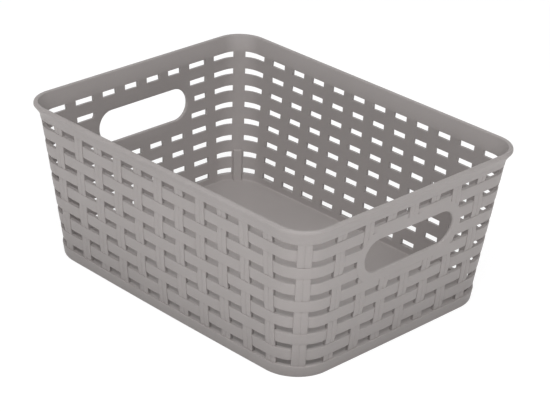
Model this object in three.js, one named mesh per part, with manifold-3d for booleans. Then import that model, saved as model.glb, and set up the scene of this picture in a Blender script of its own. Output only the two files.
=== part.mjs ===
// Rectangular storage and laundry basket, moulded in one colour of plastic with a rattan-look plain weave.
// X runs along the length, Y along the width and Z up. The origin is at the centre of the base.
// Front is -Y, right is +X. All lengths are in millimetres and all angles in degrees.
// The basket is one moulding. It is divided here along its own natural edges into named regions.
import Module from 'manifold-3d';
import * as THREE from 'three';

// Overall form
const BASE_LENGTH = 321;         // woven wall, outside, at table height
const BASE_WIDTH = 237;
const HEIGHT = 147.5;            // table to the top of the rim
const END_LEAN_ANGLE = 5.8;      // lean of the two short walls
const SIDE_LEAN_ANGLE = 4.85;    // lean of the two long walls
const LONG_BOW = 2.4;            // the middle of a long wall stands out from a straight one by this
const SHORT_BOW = 0.9;           // the same for a short wall
const BOW_FOOT = 20;             // the bow would run out this far below the table
const BASE_CORNER_RADIUS = 34;   // outside corner at the base
const TOP_CORNER_RADIUS = 25;    // outside corner of the wall line at the rim
const WALL = 3.2;                // outermost face of the weave to the smooth inner face

// Weave
const ROW_PITCH = 16.5;          // height of one slot and one band
const SLOT_HEIGHT = 6.1;
const SLOT_FALL = 0.9;           // slot bottoms drop outwards by this, so that the mould lets go
const BAY_PITCH = 26.4;          // spacing of the upright stakes
const STAKE_WIDTH = 10.7;
const CORNER_STAKE_WIDTH = 12.2;
const CORNER_STAKE_SHIFT = 2;    // corner stakes sit this far round towards the short walls
const LONG_CORNER_BAY = 21.2;    // last stake to the corner, along the long wall at the base
const SHORT_CORNER_BAY = 29.8;   // the same along the short wall
const LONG_STAKE_ANGLE = 0.8;    // last stakes open outwards by this angle
const SHORT_STAKE_ANGLE = 1.35;
const SHORT_END_BAY_EXTRA = 2;   // the short walls' last bays are wider by this
const RELIEF = 1;                // a band sinks by this where it passes behind a stake
const STAKE_EDGE = 0.9;          // width of the rounded side of a stake
const GROOVE = 0.5;              // depth of the line between a stake's two strands
const DIVE = 0.6;                // a stake's end sinks by this under a band
const DIVE_RUN = 0.6;            // height over which the band's edge steps down to the stake

// Rim
const RIM_HEIGHT = 14.9;         // lower edge of the plain band to the top of the rim
const RIM_FLARE = 4.3;           // the lip stands out from the wall line by this
const RIM_STRAIGHT = 2.6;        // plain band below the flare
const RIM_STEP = 0.3;            // the plain band stands proud of the weave by this
const LIP_THICKNESS = 3.1;
const LIP_ROUND = 2.2;           // radius of the lip's outer edge

// Foot and floor
const FOOT_HEIGHT = 11;
const FOOT_STEP = 1;             // the foot band stands proud of the weave by this
const FOOT_ROUND = 1.6;
const FLOOR_TOP = 5;             // inside floor above the table
const FLOOR_THICKNESS = 2.4;

// Handles
const HANDLE_DROP = 35.6;        // lower edge of the rim down to the middle of the finger opening
const HANDLE_LENGTH = 107;
const HANDLE_HEIGHT = 31;
const SURROUND_WIDTH = 9.6;
const SURROUND_ROUND = 1.1;

// Nesting stops inside the corners
const STOP_WIDTH = 9.6;
const STOP_TOP = 35.5;
const STOP_DEPTH = 2.2;

// Seams and smoothness
const SEAM = 0.3;                // clearance between neighbouring regions
const CORNER_STEPS = 7;          // facets round each corner of the rim, foot and floor
const SIDE_STEPS = 4;            // facets along each side of the foot and floor
const BAY_STEPS = 3;             // facets across a corner bay
const HANDLE_STEPS = 8;          // facets round each end of a handle
const CUT_MARGIN = 20;           // how far cutting bodies reach past the wall

const PLASTIC = { color: 0x9c9795, roughness: 0.55, metalness: 0 };

const wasm = await Module();
wasm.setup();

const tangent = (degrees) => Math.tan(THREE.MathUtils.degToRad(degrees));

// The tapered outside of the basket: a rounded rectangle at every height, before the walls bow.
const halfLength = (z) => BASE_LENGTH / 2 + z * tangent(END_LEAN_ANGLE);
const halfWidth = (z) => BASE_WIDTH / 2 + z * tangent(SIDE_LEAN_ANGLE);
const cornerRadius = (z) => BASE_CORNER_RADIUS + (TOP_CORNER_RADIUS - BASE_CORNER_RADIUS) * z / HEIGHT;

// Sides run anticlockwise from above: 0 front, 1 right, 2 back, 3 left. Even ones are the long walls.
const isLong = (side) => side % 2 === 0;
const straightHalf = (side, z) => (isLong(side) ? halfLength(z) : halfWidth(z)) - cornerRadius(z);

// Distance along the wall from the middle of a side to the middle of its corner.
const cornerRun = (side, z) => straightHalf(side, z) + cornerRadius(z) * Math.PI / 4;

// The walls bow outwards: most in the middle, halfway up, and not at all at the corners and the stiff rim.
// Past the middle of a corner a point belongs to the next side.
const rimBottom = HEIGHT - RIM_HEIGHT;

function bow(side, along, z) {
  const run = cornerRun(side, z);
  const nextRun = cornerRun(side + 1, z);
  const past = Math.abs(along) > run;
  const share = past ? (run + nextRun - Math.abs(along)) / nextRun : Math.abs(along) / run;
  const most = isLong(past ? side + 1 : side) ? LONG_BOW : SHORT_BOW;
  const rise = Math.max(0, Math.sin(Math.PI * (z + BOW_FOOT) / (rimBottom + BOW_FOOT)));
  return most * rise * (1 - 1.5 * share ** 2 + 0.5 * share ** 6);
}

// A point on a side: distance along it from its middle, height, and depth, which is positive outwards.
function wallPoint(side, along, z, depth) {
  const radius = cornerRadius(z);
  const straight = straightHalf(side, z);
  const outwards = depth + bow(side, along, z);
  const plane = (isLong(side) ? halfWidth(z) : halfLength(z)) + outwards;
  const turn = Math.max(0, Math.abs(along) - straight) / radius;
  const u = Math.sign(along) * (Math.min(Math.abs(along), straight) + (radius + outwards) * Math.sin(turn));
  const v = plane - (radius + outwards) * (1 - Math.cos(turn));
  const facing = side * Math.PI / 2;
  return new THREE.Vector3(
    u * Math.cos(facing) + v * Math.sin(facing),
    u * Math.sin(facing) - v * Math.cos(facing),
    z,
  );
}

// A point near the corner that follows a side, measured from the corner's middle.
function cornerPoint(corner, along, z, depth) {
  if (along <= 0) {
    return wallPoint(corner, cornerRun(corner, z) + along, z, depth);
  }
  const next = (corner + 1) % 4;
  return wallPoint(next, along - cornerRun(next, z), z, depth);
}

// A closed surface, gathered strip by strip. Points that coincide are shared.
class Shell {
  constructor() {
    this.positions = [];
    this.index = [];
    this.known = new Map();
  }

  vertex(point) {
    const key = point.toArray().map((value) => Math.round(value * 1e4)).join();
    if (!this.known.has(key)) {
      this.known.set(key, this.positions.length / 3);
      this.positions.push(point.x, point.y, point.z);
    }
    return this.known.get(key);
  }

  triangle(a, b, c) {
    const corners = [this.vertex(a), this.vertex(b), this.vertex(c)];
    if (new Set(corners).size === 3) {
      this.index.push(...corners);
    }
  }

  // Joins two lines that run the same way, with the second on the left of the first seen from outside.
  // A line is a list of { at, point }, where at grows along it.
  join(first, second) {
    let i = 0;
    let j = 0;
    while (i < first.length - 1 || j < second.length - 1) {
      const canFirst = i < first.length - 1;
      const canSecond = j < second.length - 1;
      if (canFirst && (!canSecond || first[i + 1].at <= second[j + 1].at + 1e-6)) {
        this.triangle(first[i].point, first[i + 1].point, second[j].point);
        i += 1;
      } else {
        this.triangle(first[i].point, second[j + 1].point, second[j].point);
        j += 1;
      }
    }
  }

  geometry() {
    const geometry = new THREE.BufferGeometry();
    geometry.setAttribute('position', new THREE.Float32BufferAttribute(this.positions, 3));
    geometry.setIndex(this.index);
    return geometry;
  }

  solid() {
    return new wasm.Manifold(new wasm.Mesh({
      numProp: 3,
      vertProperties: new Float32Array(this.positions),
      triVerts: new Uint32Array(this.index),
    }));
  }
}

const backwards = (line) => [...line].reverse().map(({ at, point }) => ({ at: -at, point }));

function geometryOf(solid) {
  const { vertProperties, triVerts, numProp } = solid.getMesh();
  const positions = [];
  for (let i = 0; i < vertProperties.length; i += numProp) {
    positions.push(vertProperties[i], vertProperties[i + 1], vertProperties[i + 2]);
  }
  const geometry = new THREE.BufferGeometry();
  geometry.setAttribute('position', new THREE.Float32BufferAttribute(positions, 3));
  geometry.setIndex([...triVerts]);
  return geometry;
}

// Rows of the weave, from the foot up: slot 0, band 0, slot 1 and so on, ending with the top slots.
const handleCentre = rimBottom - HANDLE_DROP;
const bandSteps = Math.round((rimBottom - FOOT_HEIGHT - SLOT_HEIGHT) / ROW_PITCH);
const rowPitch = (rimBottom - FOOT_HEIGHT - SLOT_HEIGHT) / bandSteps;

const slotBottom = (k) => FOOT_HEIGHT + k * rowPitch;

function weaveRows() {
  const rows = [];
  for (let k = 0; k <= bandSteps; k += 1) {
    const slotTop = slotBottom(k) + SLOT_HEIGHT;
    rows.push({ slot: true, number: k, low: slotBottom(k), high: slotTop });
    if (k < bandSteps) {
      rows.push({ slot: false, number: k, low: slotTop, high: slotBottom(k + 1) });
    }
  }
  rows[0].low += SEAM / 2;
  rows[rows.length - 1].high -= SEAM / 2;
  return rows;
}

// Plain weave: going round the basket and up it, stakes and bands come to the front in turn.
const stakeInFront = (stake, band) => (stake + band) % 2 === 0;
const bandDepth = (stake, band) => (stakeInFront(stake, band) ? -RELIEF : 0);

// Stakes of a side, numbered from 1 beside the corner. Their places are lines, since the last ones lean.
function sideStakes(side) {
  const run = cornerRun(side, 0) - (isLong(side) ? LONG_CORNER_BAY : SHORT_CORNER_BAY);
  const extra = isLong(side) ? 0 : SHORT_END_BAY_EXTRA;
  const lean = tangent(isLong(side) ? LONG_STAKE_ANGLE : SHORT_STAKE_ANGLE);
  const half = Math.round((run - extra) / BAY_PITCH);
  const pitch = (run - extra) / half;
  const stakes = [];
  for (let k = -half; k <= half; k += 1) {
    const last = Math.abs(k) === half;
    stakes.push({
      number: k + half + 1,
      width: STAKE_WIDTH,
      innerShares: [-0.5, 0.5],
      centre: (z) => (last ? Math.sign(k) * (run + lean * z) : k * pitch),
    });
  }
  return stakes;
}

// Lines across a stake at one height, from its left side to its right.
// Where a band passes over, the line is straight; elsewhere it shows two strands.
function stakeLine(place, stake, z, depth) {
  const left = stake.centre(z) - stake.width / 2;
  const right = stake.centre(z) + stake.width / 2;
  const at = (along, d) => ({ at: along, point: place(along, z, d) });
  if (depth === null) {
    return [at(left, 0), at(right, 0)];
  }
  return [
    at(left, -RELIEF),
    at(left + STAKE_EDGE, depth),
    at((left + right) / 2, depth - GROOVE),
    at(right - STAKE_EDGE, depth),
    at(right, -RELIEF),
  ];
}

// The lines of one stake from bottom to top. In each slot row it dives under the band that passes over it.
function stakeLines(place, stake, rows) {
  const lines = [];
  const add = (z, depth) => lines.push({ z, line: stakeLine(place, stake, z, depth) });
  const isOver = (band) => band >= 0 && band < bandSteps && !stakeInFront(stake.number, band);
  for (const row of rows.filter(({ slot }) => slot)) {
    const under = isOver(row.number - 1);
    const over = isOver(row.number);
    if (under) {
      add(row.low, null);
      add(row.low + DIVE_RUN, -DIVE);
    } else {
      add(row.low, 0);
    }
    if (over) {
      add(row.high - DIVE_RUN, -DIVE);
      add(row.high, null);
    } else {
      add(row.high, 0);
    }
  }
  return lines;
}

// A woven panel: bays and stakes side by side, with a slot in every bay of every slot row.
// place turns distance along, height and depth into a point. The bays lie between neighbouring columns.
function wovenPanel(place, columns) {
  const rows = weaveRows();
  const shell = new Shell();

  // A slot's bottom drops outwards to the top of the band below it, whose inner edge lies higher.
  const bandTops = rows.filter(({ slot }) => !slot).map(({ high }) => high);
  const inner = (along, z) => place(along, bandTops.includes(z) ? z + SLOT_FALL : z, -WALL);

  // Points up one side of a stake, outside and inside, between two heights.
  const sideLines = (stake, lines, end, low, high) => {
    const sign = end === 'left' ? -1 : 1;
    const pick = (line) => (end === 'left' ? line[0] : line[line.length - 1]);
    const outside = lines
      .filter(({ z }) => z > low - 1e-6 && z < high + 1e-6)
      .map(({ z, line }) => ({ at: z, point: pick(line).point }));
    const inside = [];
    for (const row of rows) {
      for (const z of [row.low, row.high]) {
        const fresh = inside.length === 0 || z > inside[inside.length - 1].at + 1e-6;
        if (fresh && z > low - 1e-6 && z < high + 1e-6) {
          inside.push({ at: z, point: inner(stake.centre(z) + sign * stake.width / 2, z) });
        }
      }
    }
    return { outside, inside };
  };

  const addStake = (stake, lines) => {
    for (let i = 0; i + 1 < lines.length; i += 1) {
      shell.join(lines[i].line, lines[i + 1].line);
    }
    const ends = (z) => stake.innerShares
      .map((share) => stake.centre(z) + share * stake.width)
      .map((along) => ({ at: along, point: inner(along, z) }));
    for (const row of rows) {
      shell.join(backwards(ends(row.low)), backwards(ends(row.high)));
    }
    const bottom = lines[0];
    const top = lines[lines.length - 1];
    shell.join(ends(bottom.z), bottom.line);
    shell.join(backwards(ends(top.z)), backwards(top.line));
  };

  // A band crossing a bay, with its sunk end beside the stake that it passes behind.
  const addBand = (bay, row) => {
    const line = (z, inside) => {
      const left = bay.left(z);
      const right = bay.right(z);
      const points = [];
      for (let i = 0; i <= bay.steps; i += 1) {
        const share = i / bay.steps;
        const along = THREE.MathUtils.lerp(left, right, share);
        const depth = THREE.MathUtils.lerp(
          bandDepth(bay.leftStake, row.number),
          bandDepth(bay.rightStake, row.number),
          share,
        );
        points.push({ at: along, point: inside ? inner(along, z) : place(along, z, depth) });
      }
      return points;
    };
    const low = { outside: line(row.low, false), inside: line(row.low, true) };
    const high = { outside: line(row.high, false), inside: line(row.high, true) };
    shell.join(low.outside, high.outside);
    shell.join(backwards(low.inside), backwards(high.inside));
    shell.join(low.inside, low.outside);
    shell.join(backwards(high.inside), backwards(high.outside));
    const end = (side) => ({
      outside: [low, high].map(({ outside }, i) => ({ at: i, point: outside.at(side).point })),
      inside: [low, high].map(({ inside }, i) => ({ at: i, point: inside.at(side).point })),
    });
    if (bay.openLeft) {
      shell.join(backwards(end(0).inside), backwards(end(0).outside));
    }
    if (bay.openRight) {
      shell.join(end(-1).inside, end(-1).outside);
    }
  };

  // The side of a stake, wherever no band joins it.
  const addSide = (stake, lines, end, low, high) => {
    const { outside, inside } = sideLines(stake, lines, end, low, high);
    if (end === 'left') {
      shell.join(backwards(inside), backwards(outside));
    } else {
      shell.join(inside, outside);
    }
  };

  for (const column of columns) {
    if (column.stake) {
      const lines = stakeLines(place, column.stake, rows);
      addStake(column.stake, lines);
      for (const end of ['left', 'right']) {
        for (const row of rows) {
          if (row.slot || column.free === end) {
            addSide(column.stake, lines, end, row.low, row.high);
          }
        }
      }
    } else {
      rows.filter(({ slot }) => !slot).forEach((row) => addBand(column, row));
    }
  }
  return shell;
}

// A whole side between its last stakes.
function sideWall(side) {
  const place = (along, z, depth) => wallPoint(side, along, z, depth);
  const stakes = sideStakes(side);
  const columns = [];
  stakes.forEach((stake, i) => {
    const free = i === 0 ? 'left' : i === stakes.length - 1 ? 'right' : null;
    columns.push({ stake, free });
    if (i + 1 < stakes.length) {
      const next = stakes[i + 1];
      columns.push({
        left: (z) => stake.centre(z) + stake.width / 2,
        right: (z) => next.centre(z) - next.width / 2,
        leftStake: stake.number,
        rightStake: next.number,
        steps: 1,
      });
    }
  });
  return wovenPanel(place, columns);
}

// The corner that follows a side: two bays with long slots and the corner stake between them.
function wovenCorner(corner) {
  const next = (corner + 1) % 4;
  const place = (along, z, depth) => cornerPoint(corner, along, z, depth);
  const before = sideStakes(corner).at(-1);
  const after = sideStakes(next)[0];
  const shift = isLong(corner) ? CORNER_STAKE_SHIFT : -CORNER_STAKE_SHIFT;
  const stake = {
    number: 0,
    width: CORNER_STAKE_WIDTH,
    innerShares: [-0.5, -0.25, 0, 0.25, 0.5],
    centre: () => shift,
  };
  const leftEdge = (z) => before.centre(z) + before.width / 2 + SEAM - cornerRun(corner, z);
  const rightEdge = (z) => after.centre(z) - after.width / 2 - SEAM + cornerRun(next, z);
  const bays = [
    {
      left: leftEdge,
      right: () => shift - stake.width / 2,
      leftStake: before.number,
      rightStake: stake.number,
      openLeft: true,
      steps: BAY_STEPS,
    },
    {
      left: () => shift + stake.width / 2,
      right: rightEdge,
      leftStake: stake.number,
      rightStake: after.number,
      openRight: true,
      steps: BAY_STEPS,
    },
  ];
  return wovenPanel(place, [bays[0], { stake, free: null }, bays[1]]);
}

// The basket's outline at one height: each side in turn, then the corner after it.
function outlineAt(z, depth, sideSteps) {
  const points = [];
  for (let side = 0; side < 4; side += 1) {
    const straight = straightHalf(side, z);
    const arc = cornerRadius(z) * Math.PI / 2;
    for (let i = 1; i < sideSteps; i += 1) {
      points.push(wallPoint(side, straight * (2 * i / sideSteps - 1), z, depth));
    }
    for (let i = 0; i <= CORNER_STEPS; i += 1) {
      points.push(wallPoint(side, straight + arc * i / CORNER_STEPS, z, depth));
    }
  }
  return points;
}

// A closed ring of profile points { z, depth }, swept round the basket's outline.
function sweptRing(profile, sideSteps) {
  const shell = new Shell();
  const rings = profile.map(({ z, depth }) => outlineAt(z, depth, sideSteps));
  rings.forEach((ring, i) => {
    const next = rings[(i + 1) % rings.length];
    ring.forEach((point, j) => {
      const k = (j + 1) % ring.length;
      shell.triangle(point, ring[k], next[j]);
      shell.triangle(ring[k], next[k], next[j]);
    });
  });
  return shell;
}

// Rim: a plain band with straight sides that spreads outwards into a rounded lip, which stands out at its outer edge.
function rim() {
  const low = rimBottom + SEAM / 2;
  const bend = rimBottom + RIM_STRAIGHT;
  const crest = RIM_FLARE - LIP_ROUND;
  const innerRound = LIP_THICKNESS - LIP_ROUND;
  const innerEdge = { z: HEIGHT - innerRound, depth: crest - innerRound };
  const spread = (share, power, from, to) => ({
    z: THREE.MathUtils.lerp(bend, to.z, share),
    depth: THREE.MathUtils.lerp(from, to.depth, share ** power),
  });
  const outerEdge = { z: HEIGHT - LIP_THICKNESS, depth: RIM_FLARE };
  const outer = [0, 0.35, 0.7, 1].map((share) => spread(share, 1.6, RIM_STEP, outerEdge));
  const inner = [1, 0.67, 0.33, 0].map((share) => spread(share, 1.25, -WALL, innerEdge));
  return sweptRing([
    { z: low, depth: RIM_STEP },
    ...outer,
    { z: HEIGHT - LIP_ROUND, depth: RIM_FLARE },
    { z: HEIGHT - LIP_ROUND * (1 - Math.SQRT1_2), depth: crest + LIP_ROUND * Math.SQRT1_2 },
    { z: HEIGHT, depth: crest },
    { z: HEIGHT - innerRound * (1 - Math.SQRT1_2), depth: crest - innerRound * Math.SQRT1_2 },
    ...inner,
    { z: low, depth: -WALL },
  ], 1);
}

// Foot band: plain, a little proud of the weave, with a small ledge on top and a rounded lower edge.
function footBand() {
  const ease = FOOT_ROUND * (1 - Math.SQRT1_2);
  return sweptRing([
    { z: 0, depth: FOOT_STEP - FOOT_ROUND },
    { z: ease, depth: FOOT_STEP - ease },
    { z: FOOT_ROUND, depth: FOOT_STEP },
    { z: FOOT_HEIGHT - SEAM / 2 - FOOT_STEP * 0.4, depth: FOOT_STEP },
    { z: FOOT_HEIGHT - SEAM / 2, depth: FOOT_STEP * 0.6 },
    { z: FOOT_HEIGHT - SEAM / 2, depth: -WALL },
    { z: 0, depth: -WALL },
  ], SIDE_STEPS);
}

// Floor: a flat plate inside the foot band, held clear of the table.
function floorPanel() {
  const shell = new Shell();
  const top = outlineAt(FLOOR_TOP, -WALL - SEAM, SIDE_STEPS);
  const bottom = outlineAt(FLOOR_TOP - FLOOR_THICKNESS, -WALL - SEAM, SIDE_STEPS);
  const topCentre = new THREE.Vector3(0, 0, FLOOR_TOP);
  const bottomCentre = new THREE.Vector3(0, 0, FLOOR_TOP - FLOOR_THICKNESS);
  top.forEach((point, i) => {
    const k = (i + 1) % top.length;
    shell.triangle(topCentre, point, top[k]);
    shell.triangle(bottomCentre, bottom[k], bottom[i]);
    shell.triangle(bottom[i], bottom[k], point);
    shell.triangle(bottom[k], top[k], point);
  });
  return shell;
}

// Outline of a handle, grown outwards from the finger opening: straight above and below, round at the ends.
function handleOutline(grow) {
  const radius = HANDLE_HEIGHT / 2 + grow;
  const straight = (HANDLE_LENGTH - HANDLE_HEIGHT) / 2;
  const points = [];
  for (const end of [1, -1]) {
    for (let i = 0; i <= HANDLE_STEPS; i += 1) {
      const angle = -Math.PI / 2 + Math.PI * i / HANDLE_STEPS;
      points.push({
        along: end * (straight + radius * Math.cos(angle)),
        z: handleCentre + end * radius * Math.sin(angle),
      });
    }
  }
  return points;
}

// Handle surround: a flat ring at the weave's outer level, rounded where fingers hold it.
function handleSurround(side) {
  const shell = new Shell();
  const profile = [
    { grow: SURROUND_WIDTH, depth: -WALL },
    { grow: SURROUND_WIDTH, depth: 0 },
    { grow: SURROUND_ROUND, depth: 0 },
    { grow: SURROUND_ROUND * 0.3, depth: -SURROUND_ROUND * 0.3 },
    { grow: 0, depth: -SURROUND_ROUND },
    { grow: 0, depth: SURROUND_ROUND - WALL },
    { grow: SURROUND_ROUND, depth: -WALL },
  ];
  const rings = profile.map(({ grow, depth }) => handleOutline(grow)
    .map(({ along, z }) => wallPoint(side, along, z, depth)));
  rings.forEach((ring, i) => {
    const next = rings[(i + 1) % rings.length];
    ring.forEach((point, j) => {
      const k = (j + 1) % ring.length;
      shell.triangle(point, ring[k], next[j]);
      shell.triangle(ring[k], next[k], next[j]);
    });
  });
  return shell;
}

// The body that clears the wall for a handle and its surround.
function handleCutter(side) {
  const shell = new Shell();
  const outline = handleOutline(SURROUND_WIDTH + SEAM);
  const ring = (depth) => outline.map(({ along, z }) => wallPoint(side, along, z, depth));
  const outer = ring(CUT_MARGIN);
  const inner = ring(-WALL - CUT_MARGIN);
  const outerCentre = wallPoint(side, 0, handleCentre, CUT_MARGIN);
  const innerCentre = wallPoint(side, 0, handleCentre, -WALL - CUT_MARGIN);
  outer.forEach((point, i) => {
    const k = (i + 1) % outer.length;
    shell.triangle(outerCentre, point, outer[k]);
    shell.triangle(innerCentre, inner[k], inner[i]);
    shell.triangle(inner[i], inner[k], point);
    shell.triangle(inner[k], outer[k], point);
  });
  return shell.solid();
}

// A box that keeps one region of a short wall, from one distance along it to another.
function regionBox(side, from, to, low, high) {
  const reach = halfLength(HEIGHT) + CUT_MARGIN;
  const box = new THREE.BoxGeometry(reach, to - from, high - low).toNonIndexed();
  const facing = side === 1 ? 1 : -1;
  box.translate(facing * reach / 2, facing * (from + to) / 2, (low + high) / 2);
  const shell = new Shell();
  const position = box.getAttribute('position');
  const corner = (i) => new THREE.Vector3().fromBufferAttribute(position, i);
  for (let i = 0; i < position.count; i += 3) {
    shell.triangle(corner(i), corner(i + 1), corner(i + 2));
  }
  return shell.solid();
}

// A short wall in four regions round its handle: below it, above it and one at each end.
function shortWallRegions(side) {
  const wall = sideWall(side).solid().subtract(handleCutter(side));
  const stakes = sideStakes(side);
  const straight = (HANDLE_LENGTH - HANDLE_HEIGHT) / 2;
  const beyond = stakes.find((stake) => stake.centre(0) - stake.width / 2 > straight);
  const edge = beyond.centre(0) - beyond.width / 2;
  const seamLow = edge - SEAM * 1.5;
  const seamHigh = edge - SEAM * 0.5;
  const far = cornerRun(side, HEIGHT) + CUT_MARGIN;
  const region = (from, to, low, high) => geometryOf(wall.intersect(regionBox(side, from, to, low, high)));
  return {
    lower: region(-seamLow, seamLow, 0, handleCentre),
    bridge: region(-seamLow, seamLow, handleCentre, HEIGHT),
    start: region(-far, -seamHigh, 0, HEIGHT),
    end: region(seamHigh, far, 0, HEIGHT),
  };
}

// Nesting stop: an upright block in the inside corner that keeps stacked baskets from jamming.
function nestingStop(corner) {
  const shell = new Shell();
  const shift = isLong(corner) ? CORNER_STAKE_SHIFT : -CORNER_STAKE_SHIFT;
  const across = [-1, -0.5, 0, 0.5, 1].map((share) => shift + share * STOP_WIDTH / 2);
  const line = (z, depth) => across.map((along) => ({ at: along, point: cornerPoint(corner, along, z, depth) }));
  const back = -WALL - SEAM;
  const front = -WALL - STOP_DEPTH;
  const low = FLOOR_TOP + SEAM;
  const faces = { lowBack: line(low, back), lowFront: line(low, front) };
  faces.highBack = line(STOP_TOP, back);
  faces.highFront = line(STOP_TOP, front);
  shell.join(faces.lowBack, faces.highBack);
  shell.join(backwards(faces.lowFront), backwards(faces.highFront));
  shell.join(faces.lowFront, faces.lowBack);
  shell.join(backwards(faces.highFront), backwards(faces.highBack));
  const end = (side) => ({
    outside: [faces.lowBack, faces.highBack].map((points, i) => ({ at: i, point: points.at(side).point })),
    inside: [faces.lowFront, faces.highFront].map((points, i) => ({ at: i, point: points.at(side).point })),
  });
  shell.join(end(-1).inside, end(-1).outside);
  shell.join(backwards(end(0).inside), backwards(end(0).outside));
  return shell;
}

const basket = new THREE.Group();

function add(name, geometry) {
  const mesh = new THREE.Mesh(geometry, new THREE.MeshStandardMaterial(PLASTIC));
  mesh.name = name;
  basket.add(mesh);
}

add('floor_panel', floorPanel().geometry());
add('foot_band', footBand().geometry());
add('rim', rim().geometry());
add('front_wall', sideWall(0).geometry());
add('back_wall', sideWall(2).geometry());

// Each corner follows the side of the same number, going anticlockwise.
const CORNER_NAMES = ['front_right', 'back_right', 'back_left', 'front_left'];
CORNER_NAMES.forEach((name, corner) => {
  add(`corner_${name}`, wovenCorner(corner).geometry());
  add(`nesting_stop_${name}`, nestingStop(corner).geometry());
});

// The right wall runs from front to back, and the left wall from back to front.
const SHORT_WALLS = [
  { name: 'right', side: 1, ends: ['front', 'back'] },
  { name: 'left', side: 3, ends: ['back', 'front'] },
];
for (const { name, side, ends } of SHORT_WALLS) {
  const regions = shortWallRegions(side);
  add(`${name}_wall_below_handle`, regions.lower);
  add(`${name}_wall_above_handle`, regions.bridge);
  add(`${name}_wall_${ends[0]}_end`, regions.start);
  add(`${name}_wall_${ends[1]}_end`, regions.end);
  add(`${name}_handle_surround`, handleSurround(side).geometry());
}

export default basket;
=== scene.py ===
"""Moulded laundry basket with a rattan-look plain weave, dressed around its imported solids.

The file is laid out as an add-on and is run as a script. X runs along the basket's length, Y across its
width and Z up, in metres, with the origin at the centre of the base. Front is -Y and right is +X.
"""
import math

import bpy
from bpy.props import FloatProperty, FloatVectorProperty, IntProperty, PointerProperty
from mathutils import Matrix, Vector


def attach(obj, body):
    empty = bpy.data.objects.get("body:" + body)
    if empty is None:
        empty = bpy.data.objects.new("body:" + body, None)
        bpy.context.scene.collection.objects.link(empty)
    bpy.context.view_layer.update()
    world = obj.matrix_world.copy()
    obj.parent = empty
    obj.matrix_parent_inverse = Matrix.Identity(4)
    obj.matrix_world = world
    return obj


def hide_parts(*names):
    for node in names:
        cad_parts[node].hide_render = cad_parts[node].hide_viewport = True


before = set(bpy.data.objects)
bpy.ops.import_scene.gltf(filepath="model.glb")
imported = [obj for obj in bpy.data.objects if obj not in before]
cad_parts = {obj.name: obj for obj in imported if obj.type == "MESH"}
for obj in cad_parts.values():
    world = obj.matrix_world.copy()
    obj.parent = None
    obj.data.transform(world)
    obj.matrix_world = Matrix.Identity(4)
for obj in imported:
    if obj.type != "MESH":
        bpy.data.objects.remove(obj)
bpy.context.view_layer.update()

bl_info = {
    "name": "Woven Laundry Basket",
    "version": (1, 0, 0),
    "blender": (4, 5, 0),
    "location": "3D View > Sidebar > Basket",
    "description": "Builds a moulded basket with plain-weave walls around its packed solids",
    "category": "Add Mesh",
}

BODY = "root"
PLASTIC_SLOT = "moulded_plastic"

LONG_STAKES = 11  # on each long wall, between its corner stakes
SHORT_STAKES = 7


def mm(value):
    """Millimetres as metres."""
    return value / 1000


# How finely each form is divided, in faces

STRAND_STEPS = 6  # across one strand of a stake
STAKE_STEPS = 2 * STRAND_STEPS
BAY_STEPS = 8  # across a bay of a straight wall
CORNER_BAY_STEPS = 14  # the same where the wall turns the corner
SLOT_STEPS = 6  # up a slot
BAND_STEPS = 6  # up a band
ROW_STEPS = SLOT_STEPS + BAND_STEPS
STRAIGHT_STEPS = 12  # along each straight run of the rim, foot and floor
ARC_STEPS = 20  # round each of their corners
HANDLE_STEPS = 28  # round each end of a handle
HANDLE_POINTS = HANDLE_STEPS + 1
FLARE_STEPS = 14  # up the outside of the rim's flare
LIP_OUTER_STEPS = 8  # over the lip, from its edge to its crest
LIP_INNER_STEPS = 6  # over the lip, from its crest inwards
RIM_INSIDE_STEPS = 12  # down the inside of the rim
FOOT_STEPS = 5  # round the foot's lower edge
LEDGE_STEPS = 4  # round the foot's upper edge
COVE_STEPS = 6  # up the floor's cove
SURROUND_STEPS = 5  # round each edge of a finger opening
STOP_STEPS = 8  # across a nesting stop
STOP_EDGE_STEPS = 3  # round each of its edges

# Small measures of the moulding

BAND_TURN = 14  # higher keeps a band flatter until it turns in behind a stake
EDGE_SHARE = 0.004  # a step down takes this share of a bay or slot, so it is almost upright
RIM_EDGE = mm(0.25)  # rounding of the rim's lower edges
RIM_EDGE_RISE = 0.6  # share of that rounding that stands upright under the lip
CREST_PLACE = 0.48  # share of the lip's width that lies outside its crest
LIP_FALL = 0.3  # share of the lip's thickness by which it falls inside its crest
FLARE_CURVE = 1.25  # 1 is a straight flare, and higher bends it outwards near the lip
INSIDE_CURVE = 1.4  # the same for the inside of the rim
FOOT_LEDGE = mm(0.4)  # rounding of the foot's upper edge
FLOOR_RINGS = (1.0, 0.75, 0.5, 0.25, 0.05)  # shares of the way in from the wall, where the floor is divided
STOP_TUCK = mm(0.5)  # a nesting stop is sunk by this into the wall and the floor
STOP_EDGE = mm(0.6)  # rounding of its edges

# Limits for joining, cutting and shading meshes

MERGE = 2e-6  # points nearer than this are one point
LATTICE_MERGE = 0.1  # the same while points are a step apart
CUTTER_REACH = 0.02  # how far the handle's cutting body reaches past the wall
SHARP_ANGLE = math.radians(50)  # steeper edges than this stay crisp
BEVEL_ANGLE = math.radians(40)  # steeper edges than this are rounded on a nesting stop


# Settings that a user would change

def length(name, description, default):
    return FloatProperty(name=name, description=description, default=mm(default), unit="LENGTH", precision=4)


def angle(name, description, default):
    return FloatProperty(name=name, description=description, default=math.radians(default), subtype="ANGLE")


def share(name, description, default):
    return FloatProperty(name=name, description=description, default=default, min=0, max=1, subtype="FACTOR")


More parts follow.
